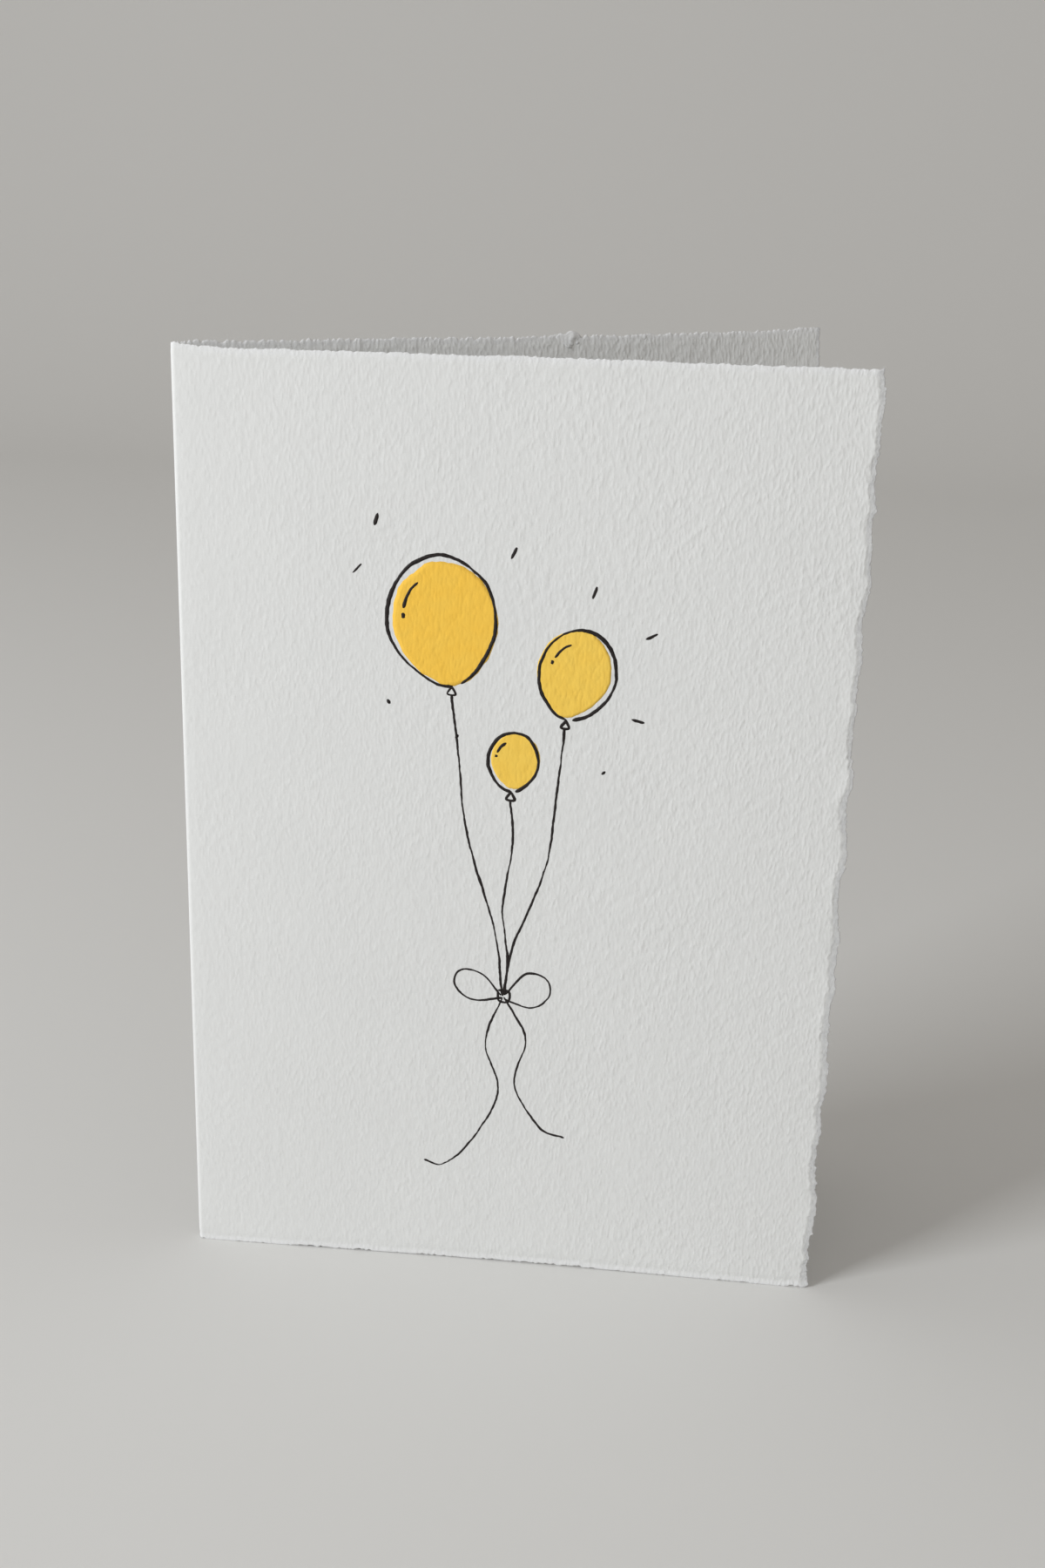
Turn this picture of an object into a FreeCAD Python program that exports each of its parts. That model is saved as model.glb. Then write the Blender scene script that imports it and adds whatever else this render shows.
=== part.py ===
import FreeCAD, Part
import math
import os
import Sketcher

# A greeting card of handmade cotton paper, folded once and standing open.
# The fold is at the left, the front leaf faces -Y, and the back leaf opens away behind it.
# Lengths are in millimetres. The sheet is drawn from the foot of the fold, and its placement
# then brings the middle of its foot to the part's origin.

doc = FreeCAD.newDocument("greeting_card")

# Driving sizes, each written once

DRIVING_SIZES = (
    ("leaf_width", 105.0, "fold to fore edge, where the deckle is hollow"),
    ("leaf_height", 153.0, "foot to top, at the fold"),
    ("sheet_thickness", 0.55, "heavy cotton paper"),
    ("opening_angle", 22.3, "between the leaves, in degrees"),
    ("fold_radius", 0.85, "outer side of the fold"),
    ("deckle_width", 1.7, "band in which the fore edge thins to its lip"),
    ("deckle_lip", 0.2, "thickness at that lip"),
    ("deckle_reach", 0.95, "how far the fullest crest of the deckle stands out"),
    ("feather_band", 1.1, "band in which the sheet thins at its torn top and at its foot"),
    ("feather_depth", 0.09, "how far each face falls away across that band"),
    ("tear_wave", 0.1, "rise and fall of the torn tops"),
    ("front_dip", 0.6, "how far the front leaf's top dips beside the fold"),
    ("dip_run", 3.0, "distance from the fold in which it dips"),
    ("dip_fade", 45.0, "distance in which it recovers"),
    ("back_rise", 1.4, "how far the back leaf's top climbs towards its fore edge"),
    ("back_corner_rise", 0.9, "how far its corner stands up above that"),
    ("trim_clearance", 3.0, "how far the cuts reach past the sheet"),
)

sizes = doc.addObject("Spreadsheet::Sheet", "Sizes")
for row, (alias, value, note) in enumerate(DRIVING_SIZES, start=1):
    sizes.set(f"A{row}", alias)
    sizes.set(f"B{row}", str(value))
    sizes.set(f"C{row}", note)
    sizes.setAlias(f"B{row}", alias)
doc.recompute()


def size(alias):
    return float(sizes.get(alias))


# The sheet is one body

sheet = doc.addObject("PartDesign::Body", "folded_sheet")
sheet.Label = "folded_sheet"


def new_sketch(name, role):
    """An empty sketch on one of the body's own origin planes."""
    plane = next(feature for feature in sheet.Origin.OriginFeatures if feature.Role == role)
    sketch = sheet.newObject("Sketcher::SketchObject", name)
    sketch.AttachmentSupport = [(plane, "")]
    sketch.MapMode = "FlatFace"
    return sketch


def bind(sketch, kind, *arguments):
    """Add a constraint whose last two arguments are its value and the expression that drives it."""
    *places, value, expression = arguments
    index = sketch.addConstraint(Sketcher.Constraint(kind, *places, value))
    sketch.setExpression(f"Constraints[{index}]", expression)


def check_removed(feature, volume_before):
    """A cut that points away from the solid would cut nothing and show no error."""
    doc.recompute()
    if "Invalid" in feature.State or not feature.Shape.Volume < volume_before:
        raise RuntimeError(f"{feature.Name} cuts nothing")


# The section of the folded sheet: the front leaf along X, the fold, and the back leaf.
# Both leaves thin to a lip at the fore edge. The back leaf is the front leaf mirrored
# about the line that halves the opening.

HALF_OPENING = "Sizes.opening_angle * 1deg / 2"
FOLD_INNER_RADIUS = "Sizes.fold_radius - Sizes.sheet_thickness"
BAND_START = "Sizes.leaf_width - Sizes.deckle_width"
LIP_TIP = "Sizes.leaf_width + Sizes.trim_clearance"


def mirrored(point, centre, angle):
    """The point mirrored about the line through the centre at the angle."""
    across = point - centre
    turned_x = across.x * math.cos(2 * angle) + across.y * math.sin(2 * angle)
    turned_y = across.x * math.sin(2 * angle) - across.y * math.cos(2 * angle)
    return centre + FreeCAD.Vector(turned_x, turned_y, 0)


def draw_section(sketch):
    thickness = size("sheet_thickness")
    radius = size("fold_radius")
    lip = size("deckle_lip")
    half_opening = math.radians(size("opening_angle")) / 2
    band_start = size("leaf_width") - size("deckle_width")
    tip = size("leaf_width") + size("trim_clearance")
    centre = FreeCAD.Vector(radius, radius, 0)
    front = [
        FreeCAD.Vector(radius, 0, 0),
        FreeCAD.Vector(band_start, 0, 0),
        FreeCAD.Vector(tip, (thickness - lip) / 2, 0),
        FreeCAD.Vector(tip, (thickness + lip) / 2, 0),
        FreeCAD.Vector(band_start, thickness, 0),
        FreeCAD.Vector(radius, thickness, 0),
    ]
    back = [mirrored(point, centre, half_opening) for point in front]
    upright = FreeCAD.Vector(0, 0, 1)
    fold_turn = (math.pi / 2 + 2 * half_opening, 3 * math.pi / 2)
    outer_circle = Part.Circle(centre, upright, radius)
    inner_circle = Part.Circle(centre, upright, radius - thickness)
    halving_end = (front[1] + back[1]) / 2

    front_sides = [sketch.addGeometry(Part.LineSegment(a, b)) for a, b in zip(front, front[1:])]
    back_sides = [sketch.addGeometry(Part.LineSegment(b, a)) for a, b in zip(back, back[1:])]
    outer_fold = sketch.addGeometry(Part.ArcOfCircle(outer_circle, *fold_turn))
    inner_fold = sketch.addGeometry(Part.ArcOfCircle(inner_circle, *fold_turn))
    halving = sketch.addGeometry(Part.LineSegment(centre, halving_end), True)

    # Each leaf's outer face, outer taper, lip, inner taper and inner face, and then the fold
    outer_face, outer_taper, lip_end, inner_taper, inner_face = front_sides
    for side, following in zip(front_sides, front_sides[1:]):
        sketch.addConstraint(Sketcher.Constraint("Coincident", side, 2, following, 1))
    for side, following in zip(back_sides, back_sides[1:]):
        sketch.addConstraint(Sketcher.Constraint("Coincident", side, 1, following, 2))
    for side, end, fold, fold_end in (
        (outer_face, 1, outer_fold, 2),
        (inner_face, 2, inner_fold, 2),
        (back_sides[0], 2, outer_fold, 1),
        (back_sides[-1], 1, inner_fold, 1),
    ):
        sketch.addConstraint(Sketcher.Constraint("Tangent", side, end, fold, fold_end))
    sketch.addConstraint(Sketcher.Constraint("Coincident", outer_fold, 3, inner_fold, 3))
    sketch.addConstraint(Sketcher.Constraint("Coincident", halving, 1, outer_fold, 3))
    sketch.addConstraint(Sketcher.Constraint("Horizontal", outer_face))
    sketch.addConstraint(Sketcher.Constraint("Horizontal", inner_face))
    sketch.addConstraint(Sketcher.Constraint("Vertical", lip_end))
    for front_side, back_side in zip(front_sides[:4], back_sides[:4]):
        sketch.addConstraint(Sketcher.Constraint("Symmetric", front_side, 2, back_side, 1, halving))

    bind(sketch, "DistanceX", -1, 1, outer_fold, 3, radius, "Sizes.fold_radius")
    bind(sketch, "DistanceY", -1, 1, outer_fold, 3, radius, "Sizes.fold_radius")
    bind(sketch, "Radius", outer_fold, radius, "Sizes.fold_radius")
    bind(sketch, "Radius", inner_fold, radius - thickness, FOLD_INNER_RADIUS)
    bind(sketch, "Angle", -1, 1, halving, 1, half_opening, HALF_OPENING)
    bind(sketch, "DistanceX", -1, 1, halving, 2, halving_end.x, "Sizes.leaf_width")
    bind(sketch, "DistanceX", -1, 1, outer_face, 2, band_start, BAND_START)
    bind(sketch, "DistanceX", -1, 1, inner_taper, 2, band_start, BAND_START)
    bind(sketch, "DistanceX", -1, 1, outer_taper, 2, tip, LIP_TIP)
    bind(sketch, "DistanceY", -1, 1, outer_taper, 2, (thickness - lip) / 2,
         "(Sizes.sheet_thickness - Sizes.deckle_lip) / 2")
    bind(sketch, "DistanceY", lip_end, 1, lip_end, 2, lip, "Sizes.deckle_lip")


section = new_sketch("sheet_section", "XY_Plane")
draw_section(section)

raised = sheet.newObject("PartDesign::Pad", "raised_sheet")
raised.Profile = section
raised.setExpression(
    "Length",
    "Sizes.leaf_height + Sizes.back_rise + Sizes.back_corner_rise + Sizes.trim_clearance",
)
doc.recompute()

# The top and the foot are thinned towards their edges, on both faces of the sheet: along each
# leaf by a straight cut, and round the fold by a turned one. The cut at the back leaf's top
# climbs with it. Each is drawn across the sheet at the fold's centre, and runs outwards.

FEATHER_OVERRUN = "Sizes.trim_clearance / 2"
FEATHER_FALL = f"Sizes.feather_depth * (1 + {FEATHER_OVERRUN} / Sizes.feather_band)"
OUTER_LIMIT = "Sizes.fold_radius + Sizes.trim_clearance"

# Corners of the space round a thinned edge: distance out from the fold's centre, and height
# past the edge
FEATHER_CORNERS = (
    ("0", "-Sizes.feather_band"),
    (FOLD_INNER_RADIUS, "-Sizes.feather_band"),
    (f"{FOLD_INNER_RADIUS} + {FEATHER_FALL}", FEATHER_OVERRUN),
    (f"Sizes.fold_radius - {FEATHER_FALL}", FEATHER_OVERRUN),
    ("Sizes.fold_radius", "-Sizes.feather_band"),
    (OUTER_LIMIT, "-Sizes.feather_band"),
    (OUTER_LIMIT, "Sizes.trim_clearance"),
    ("0", "Sizes.trim_clearance"),
)


def draw_feather(sketch, side, upwards):
    """Draw the space round a thinned edge; side and upwards are +1 or -1."""
    signed = [(f"({side}) * ({out})", f"({upwards}) * ({past})") for out, past in FEATHER_CORNERS]
    corners = [
        FreeCAD.Vector(float(sketch.evalExpression(out)), float(sketch.evalExpression(past)), 0)
        for out, past in signed
    ]
    lines = [
        sketch.addGeometry(Part.LineSegment(start, end))
        for start, end in zip(corners, corners[1:] + corners[:1])
    ]
    for line, following in zip(lines, lines[1:] + lines[:1]):
        sketch.addConstraint(Sketcher.Constraint("Coincident", line, 2, following, 1))
    for line, corner, (out, past) in zip(lines, corners, signed):
        bind(sketch, "DistanceX", -1, 1, line, 1, corner.x, out)
        bind(sketch, "DistanceY", -1, 1, line, 1, corner.y, past)


def feather_edge(name, edge_height, upwards, back_slope):
    """Thin one edge of the folded sheet: along the front leaf, the back leaf and round the fold."""
    radius = size("fold_radius")
    height = float(sheet.evalExpression(edge_height))
    opening = size("opening_angle")
    back_run = (math.cos(math.radians(opening)), math.sin(math.radians(opening)), back_slope)
    for leaf, side, turn, run in (("front", -1, 0, (1, 0, 0)), ("back", 1, opening, back_run)):
        sketch = new_sketch(f"{name}_{leaf}_profile", "YZ_Plane")
        sketch.AttachmentOffset = FreeCAD.Placement(
            FreeCAD.Vector(radius, height, radius), FreeCAD.Rotation(FreeCAD.Vector(0, 1, 0), turn))
        sketch.setExpression("AttachmentOffset.Base.x", "Sizes.fold_radius")
        sketch.setExpression("AttachmentOffset.Base.y", edge_height)
        sketch.setExpression("AttachmentOffset.Base.z", "Sizes.fold_radius")
        draw_feather(sketch, side, upwards)
        before = sheet.Shape.Volume
        cut = sheet.newObject("PartDesign::Pocket", f"{name}_{leaf}")
        cut.Profile = sketch
        cut.UseCustomVector = True
        cut.Direction = FreeCAD.Vector(*run)
        cut.setExpression("Length", LIP_TIP)
        check_removed(cut, before)
    round_fold = sheet.newObject("PartDesign::Groove", f"{name}_fold")
    round_fold.Profile = sketch
    round_fold.ReferenceAxis = (sketch, ["V_Axis"])
    before = sheet.Shape.Volume
    round_fold.setExpression("Angle", "180 - Sizes.opening_angle")
    check_removed(round_fold, before)


feather_edge("feathered_top", "Sizes.leaf_height", 1, size("back_rise") / size("leaf_width"))
feather_edge("feathered_foot", "0", -1, 0)

# The fore edges: pulp ran out under the mould's frame, and dried in uneven crests. Hollows and
# crests follow in turn from the foot up, each with its height as a share of the leaf and its
# reach as a share of the fullest crest's. The two fore edges lay at opposite sides of the
# mould, so they differ.

FRONT_DECKLE = (
    (0.0, 0.35), (0.035, 0.0), (0.10, 1.0), (0.17, 0.0), (0.20, 0.65), (0.225, 0.35), (0.25, 1.0),
    (0.325, 0.45), (0.37, 1.0), (0.385, 0.65), (0.415, 0.95), (0.47, 0.0), (0.51, 0.95),
    (0.57, 0.15), (0.59, 1.0), (0.625, 0.2), (0.665, 0.4), (0.69, 0.25), (0.72, 0.65),
    (0.755, 0.2), (0.79, 1.0), (0.85, 0.35), (0.875, 0.65), (0.895, 0.3), (0.92, 0.55),
    (0.945, 0.35), (0.975, 0.65), (1.0, 0.3),
)
BACK_DECKLE = (
    (0.0, 0.5), (0.04, 0.2), (0.085, 0.75), (0.12, 0.6), (0.155, 1.0), (0.175, 0.1), (0.25, 0.4),
    (0.30, 0.15), (0.335, 0.95), (0.41, 0.25), (0.47, 0.55), (0.50, 0.3), (0.53, 0.9),
    (0.60, 0.1), (0.66, 0.45), (0.69, 0.3), (0.71, 1.0), (0.76, 0.5), (0.79, 0.75),
    (0.83, 0.05), (0.90, 0.6), (0.925, 0.4), (0.96, 0.8), (1.0, 0.45),
)


def deckle_points(deckle, leaf_top):
    """Fore edge of a leaf from its foot to its top, as (along the leaf, height)."""
    width = size("leaf_width")
    reach = size("deckle_reach")
    return [(width + fullness * reach, leaf_top * share) for share, fullness in deckle]


# The torn tops start level at the fold. The front leaf's dips beside it and recovers towards
# the fore edge. The back leaf's climbs steadily, and faster at its corner. Both ripple.

CORNER_SHARPNESS = 6
RIPPLES = 5
POINTS_PER_RIPPLE = 4


def front_top(run):
    sunk = 1 - math.exp(-run / size("dip_run"))
    return size("leaf_height") - size("front_dip") * sunk * math.exp(-run / size("dip_fade"))


def back_top(run):
    share = run / size("leaf_width")
    corner = size("back_corner_rise") * share ** CORNER_SHARPNESS
    return size("leaf_height") + size("back_rise") * share + corner


def tear_points(top, corner_fullness):
    """Torn top of a leaf from the fold to its corner, as (along the leaf, height)."""
    radius = size("fold_radius")
    reach = size("leaf_width") + corner_fullness * size("deckle_reach")
    count = RIPPLES * POINTS_PER_RIPPLE
    points = []
    for index in range(count + 1):
        share = index / count
        run = (reach - radius) * share
        ripple = math.sin(2 * math.pi * RIPPLES * share) * math.sin(math.pi * share)
        points.append((radius + run, top(run) + size("tear_wave") * ripple))
    return points


def trim_leaf(name, deckle, top, turn, towards_viewer):
    """Cut the raised sheet back to one leaf's torn top and deckled fore edge.

    The cut starts on the plane through the fold's centre that lies along the leaf,
    and runs outwards through that leaf only.
    """
    radius = size("fold_radius")
    clearance = size("trim_clearance")
    tear = tear_points(top, deckle[-1][1])
    fore_edge = deckle_points(deckle, tear[-1][1])
    foot = fore_edge[0]
    outer_right = size("leaf_width") + 2 * clearance
    outer_top = raised.Shape.BoundBox.ZMax + clearance

    def on_plane(point):
        return FreeCAD.Vector(point[0] - radius, point[1], 0)

    tear_curve = Part.BSplineCurve()
    tear_curve.interpolate([on_plane(point) for point in tear])
    # At every hollow and crest the fore edge runs straight down
    fore_curve = Part.BSplineCurve()
    fore_curve.interpolate(
        Points=[on_plane(point) for point in reversed(fore_edge)],
        Tangents=[FreeCAD.Vector(0, -1, 0)] * len(fore_edge),
        TangentFlags=[True] * len(fore_edge),
    )
    outside = (
        foot,
        (foot[0], -clearance),
        (outer_right, -clearance),
        (outer_right, outer_top),
        (-clearance, outer_top),
        (-clearance, tear[0][1]),
        tear[0],
    )

    outline = new_sketch(name + "_outline", "XZ_Plane")
    edges = [outline.addGeometry(tear_curve), outline.addGeometry(fore_curve)]
    for start, end in zip(outside, outside[1:]):
        edges.append(outline.addGeometry(Part.LineSegment(on_plane(start), on_plane(end))))
    for edge, following in zip(edges, edges[1:] + edges[:1]):
        outline.addConstraint(Sketcher.Constraint("Coincident", edge, 2, following, 1))
    for edge in edges:
        outline.addConstraint(Sketcher.Constraint("Block", edge))
    outline.AttachmentOffset = FreeCAD.Placement(
        FreeCAD.Vector(radius, 0, -radius), FreeCAD.Rotation(FreeCAD.Vector(0, 1, 0), turn))
    outline.setExpression("AttachmentOffset.Base.x", "Sizes.fold_radius")
    outline.setExpression("AttachmentOffset.Base.z", "-Sizes.fold_radius")

    before = sheet.Shape.Volume
    cut = sheet.newObject("PartDesign::Pocket", name)
    cut.Profile = outline
    cut.Reversed = towards_viewer
    cut.setExpression("Length", OUTER_LIMIT)
    check_removed(cut, before)


trim_leaf("front_trim", FRONT_DECKLE, front_top, 0.0, True)
trim_leaf("back_trim", BACK_DECKLE, back_top, size("opening_angle"), False)

# The middle of the foot comes to the part's origin

extent = sheet.Shape.optimalBoundingBox(False)
sheet.Placement = FreeCAD.Placement(
    FreeCAD.Vector(-extent.Center.x, -extent.Center.y, -extent.ZMin), FreeCAD.Rotation())
doc.recompute()

# Every object has to be sound before anything is written

for item in doc.Objects:
    if "Invalid" in item.State or "Error" in item.State:
        raise RuntimeError(f"{item.Name} failed")
if sheet.Shape.isNull() or not sheet.Shape.isValid() or len(sheet.Shape.Solids) != 1:
    raise RuntimeError("the sheet isn't one sound solid")

os.makedirs("parts", exist_ok=True)
sheet.Shape.exportStep(f"parts/{sheet.Label}.step")
box = sheet.Shape.optimalBoundingBox(False)
print(f"{sheet.Label}: {box.XLength:.2f} x {box.YLength:.2f} x {box.ZLength:.2f} mm,"
      f" {sheet.Shape.Volume:.1f} cubic mm, {len(sheet.Shape.Faces)} faces")
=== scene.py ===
import math
import random

import bmesh
import bpy
from mathutils import Matrix, Vector, geometry, noise


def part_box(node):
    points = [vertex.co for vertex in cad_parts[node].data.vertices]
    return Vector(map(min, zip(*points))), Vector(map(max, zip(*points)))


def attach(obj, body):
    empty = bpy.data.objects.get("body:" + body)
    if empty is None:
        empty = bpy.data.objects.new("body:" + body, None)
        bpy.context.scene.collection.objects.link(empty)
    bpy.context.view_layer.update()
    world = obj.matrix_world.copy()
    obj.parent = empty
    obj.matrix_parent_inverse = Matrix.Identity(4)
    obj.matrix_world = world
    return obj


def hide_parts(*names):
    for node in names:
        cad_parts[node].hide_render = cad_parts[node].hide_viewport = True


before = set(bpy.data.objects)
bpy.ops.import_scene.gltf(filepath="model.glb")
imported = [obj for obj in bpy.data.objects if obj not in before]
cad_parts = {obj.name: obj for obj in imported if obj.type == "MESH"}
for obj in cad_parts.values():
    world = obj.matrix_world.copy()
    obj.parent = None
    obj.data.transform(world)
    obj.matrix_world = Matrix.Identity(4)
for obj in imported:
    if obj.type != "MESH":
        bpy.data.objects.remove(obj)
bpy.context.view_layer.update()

# The folded sheet
# One sheet of heavy cotton rag paper, formed by hand in a mould and pressed on felt, which left
# its grain. The pulp that ran out under the mould's frame dried as the deckle of the two fore
# edges. The sheet was torn to size along its top and foot, and folded once so that it stands.

MM = 0.001
low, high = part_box("folded_sheet")
THICKNESS = 0.55 * MM
FOLD_RADIUS = 0.85 * MM
OPENING = math.radians(22.3)
DECKLE_REACH = 0.95 * MM
LEAF_WIDTH = high.x - low.x - DECKLE_REACH
LEAF_HEIGHT = 153.0 * MM
FRONT_DIP, DIP_RUN, DIP_FADE = 0.6 * MM, 3.0 * MM, 45.0 * MM
BACK_RISE, BACK_CORNER_RISE, CORNER_SHARPNESS = 1.4 * MM, 0.9 * MM, 6
FLAKE_PLACE, FLAKE_WIDTH, FLAKE_RISE = 60.0 * MM, 0.9 * MM, 0.35 * MM
# The tear is finer on the front leaf, whose corner ends in a small spur
FRONT_RAGS, BACK_RAGS, TOP_SPUR, TOP_SPUR_RUN = 0.3, 0.65, 0.25, 0.4 * MM
FOOT_ARCH, FOOT_SPUR, FOOT_SPUR_RUN = 0.15 * MM, 0.4, 0.6 * MM
BOW, COCKLE, COCKLE_LENGTH = 0.45 * MM, 0.3 * MM, 45.0 * MM

# Hollows and crests of the two fore edges, from the foot up: share of the height, share of
# the fullest crest's reach
FRONT_DECKLE = (
    (0.0, 0.35), (0.035, 0.0), (0.10, 1.0), (0.17, 0.0), (0.20, 0.65), (0.225, 0.35), (0.25, 1.0),
    (0.325, 0.45), (0.37, 1.0), (0.385, 0.65), (0.415, 0.95), (0.47, 0.0), (0.51, 0.95),
    (0.57, 0.15), (0.59, 1.0), (0.625, 0.2), (0.665, 0.4), (0.69, 0.25), (0.72, 0.65),
    (0.755, 0.2), (0.79, 1.0), (0.85, 0.35), (0.875, 0.65), (0.895, 0.3), (0.92, 0.55),
    (0.945, 0.35), (0.975, 0.65), (1.0, 0.3),
)
BACK_DECKLE = (
    (0.0, 0.5), (0.04, 0.2), (0.085, 0.75), (0.12, 0.6), (0.155, 1.0), (0.175, 0.1), (0.25, 0.4),
    (0.30, 0.15), (0.335, 0.95), (0.41, 0.25), (0.47, 0.55), (0.50, 0.3), (0.53, 0.9),
    (0.60, 0.1), (0.66, 0.45), (0.69, 0.3), (0.71, 1.0), (0.76, 0.5), (0.79, 0.75),
    (0.83, 0.05), (0.90, 0.6), (0.925, 0.4), (0.96, 0.8), (1.0, 0.45),
)

# No crumb stands out further than this share of the fullest crest's reach
FULLEST = 0.98

# Along its edges the sheet steps down to a thin band, which tapers to a lip. Widths, and the
# step and the lip as shares of the full thickness
DECKLE_BAND, DECKLE_STEP, DECKLE_LIP = 1.15 * MM, 0.42, 0.22
# The deckle's band narrows upwards by this share of its width at the foot
BAND_NARROWING = 0.33
TORN_BAND, TORN_STEP, TORN_LIP = 1.3 * MM, 0.05, 0.78
STEP_RUN, ROUNDED_RUN = 0.2 * MM, 0.2 * MM
RIDGE, RIDGE_WIDTH = 0.02 * MM, 0.25 * MM
FLUTTER, FLUTTER_FADE = 0.12 * MM, 3.0 * MM
# A shallow groove runs above the foot, where the wet sheet was pressed against its straight edge
GROOVE, GROOVE_RISE, GROOVE_WIDTH = 0.18 * MM, 1.1 * MM, 0.6 * MM
# The plain faces lie this far inside the sheet's own thickness, which leaves room for the
# ridges and for the ink
SKIN_ROOM = 0.035 * MM
EDGE_FADE = 8.0 * MM

# The flat sheet is measured across from the middle of the fold, and the front leaf is positive
MIDDLE_RADIUS = FOLD_RADIUS - THICKNESS / 2
FOLD_HALF = MIDDLE_RADIUS * (math.pi - OPENING) / 2
LEAF_RUN = LEAF_WIDTH - FOLD_RADIUS
HALF_SHEET = FOLD_HALF + LEAF_RUN


def clamped(value, least, most):
    return max(least, min(most, value))


def eased(share):
    """0 to 1 with a level start and end."""
    share = clamped(share, 0.0, 1.0)
    return share * share * (3 - 2 * share)


def uneven(place, length, row):
    """A smooth random value from -1 to 1 along an edge; each row is another course."""
    return clamped(1.6 * noise.noise(Vector((place / length, row * 7.3, 0.4))), -1, 1)


def run_of(across):
    """Distance along a leaf from the end of the fold."""
    return max(abs(across) - FOLD_HALF, 0.0)


def torn_top(across):
    """Height of the torn top above the foot."""
    run = run_of(across)
    share = run / LEAF_WIDTH
    tear = 0.08 * uneven(across, 6 * MM, 1) + 0.06 * uneven(across, 1.4 * MM, 2)
    rags = 0.36 * uneven(across, 0.42 * MM, 3) + 0.16 * uneven(across, 0.25 * MM, 6)
    if across > 0:
        spur = TOP_SPUR * math.exp(-(HALF_SHEET - across) / TOP_SPUR_RUN)
        tear += FRONT_RAGS * rags + spur
        sunk = 1 - math.exp(-run / DIP_RUN)
        return LEAF_HEIGHT - FRONT_DIP * sunk * math.exp(-run / DIP_FADE) + tear * MM
    tear += BACK_RAGS * rags
    flake = FLAKE_RISE * math.exp(-((run - FLAKE_PLACE) / FLAKE_WIDTH) ** 2)
    corner = BACK_CORNER_RISE * share ** CORNER_SHARPNESS
    return LEAF_HEIGHT + BACK_RISE * share + corner + flake + tear * MM


def torn_foot(across):
    """Height of the torn foot above the ground: it stands on its ends and lowest fibres."""
    arch = FOOT_ARCH * math.sin(math.pi * clamped(run_of(across) / LEAF_RUN, 0, 1)) ** 2
    tear = 0.2 * uneven(across, 4 * MM, 4) + 0.14 * uneven(across, 0.9 * MM, 5)
    tear += (0.12 * uneven(across, 0.42 * MM, 7)
             + FOOT_SPUR * eased(1 - (HALF_SHEET - abs(across)) / FOOT_SPUR_RUN))
    return arch + max(tear, 0) * MM


def fore_edge(front, height):
    """Distance along a leaf from the end of the fold to its deckle."""
    share = clamped(height / LEAF_HEIGHT, 0, 1)
    deckle = FRONT_DECKLE if front else BACK_DECKLE
    for (start, start_reach), (end, end_reach) in zip(deckle, deckle[1:]):
        if share <= end:
            reach = start_reach + (end_reach - start_reach) * eased((share - start) / (end - start))
            break
    row = 10 if front else 20
    crumb = 0.14 * uneven(height, 2.2 * MM, row) + 0.13 * uneven(height, 0.7 * MM, row + 1)
    crumb += 0.1 * uneven(height, 0.3 * MM, row + 2) - 0.12
    spur = 0.5 * max(uneven(height, 0.6 * MM, row + 3) - 0.6, 0)
    spur += 0.45 * math.exp(-(height / (1.4 * MM)) ** 2)
    return LEAF_RUN + min(reach * DECKLE_REACH + (crumb + spur) * MM, FULLEST * DECKLE_REACH)


def deckle_band(front, height):
    """Width of the thin band inside the deckle, which wanders and is widest at the foot."""
    row = 14 if front else 24
    wandering = 0.22 * uneven(height, 6 * MM, row) + 0.12 * uneven(height, 1.6 * MM, row + 1)
    return DECKLE_BAND * (1 + wandering - BAND_NARROWING * height / LEAF_HEIGHT)


def stepped(distance, band, step, lip):
    """Share of the full thickness at a distance from an edge."""
    fall = step * eased((band - distance) / STEP_RUN)
    return 1 - fall - (1 - step - lip) * clamped(1 - distance / band, 0, 1)


def lean(across, height):
    """How far the leaf lies inside its flat plane, because the paper bows and cockles."""
    share = clamped(run_of(across) / LEAF_RUN, 0, 1)
    hollow = BOW * math.sin(math.pi * share) ** 2 * (1 - 0.4 * height / LEAF_HEIGHT)
    place = Vector((across, 0.6 * height, 0.1)) / COCKLE_LENGTH
    hollow += COCKLE * (0.5 + 0.5 * noise.noise(place)) * eased(2 * share)
    hollow += GROOVE * (0.4 + 0.6 * share) * math.exp(-((height - GROOVE_RISE) / GROOVE_WIDTH) ** 2)
    flutter = FLUTTER * uneven(height, 5 * MM, 34 if across > 0 else 35)
    return hollow + flutter * eased(1 - (HALF_SHEET - abs(across)) / FLUTTER_FADE)


def half_thickness(across, height):
    """Half of the sheet's thickness at a place of the flat blank, ridges included."""
    from_fore = HALF_SHEET - abs(across)
    from_torn = min(height, LEAF_HEIGHT - height)
    band = deckle_band(across > 0, height)
    share = min(stepped(from_fore, band, DECKLE_STEP, DECKLE_LIP),
                stepped(from_torn, TORN_BAND, TORN_STEP, TORN_LIP))
    swell = max(math.exp(-((from_fore - band) / RIDGE_WIDTH) ** 2),
                math.exp(-((from_torn - TORN_BAND) / RIDGE_WIDTH) ** 2))
    swell *= 0.65 + 0.35 * uneven(across + height, 3 * MM, 30)
    share *= 0.6 + 0.4 * eased(min(from_fore, from_torn) / ROUNDED_RUN)
    return (THICKNESS / 2 - SKIN_ROOM) * share + RIDGE * swell


def folded(across, height, out):
    """Where a point of the flat sheet comes to; out is its distance from the mid-thickness."""
    turn = clamped(across / FOLD_HALF, -1, 1) * (math.pi - OPENING) / 2
    facing = math.pi + OPENING / 2 + turn
    outward = Vector((math.cos(facing), math.sin(facing), 0))
    along = Vector((-outward.y, outward.x, 0)) * math.copysign(run_of(across), across)
    centre = Vector((low.x + FOLD_RADIUS, low.y + FOLD_RADIUS, low.z + height))
    return centre + outward * (MIDDLE_RADIUS + out) + along


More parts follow.
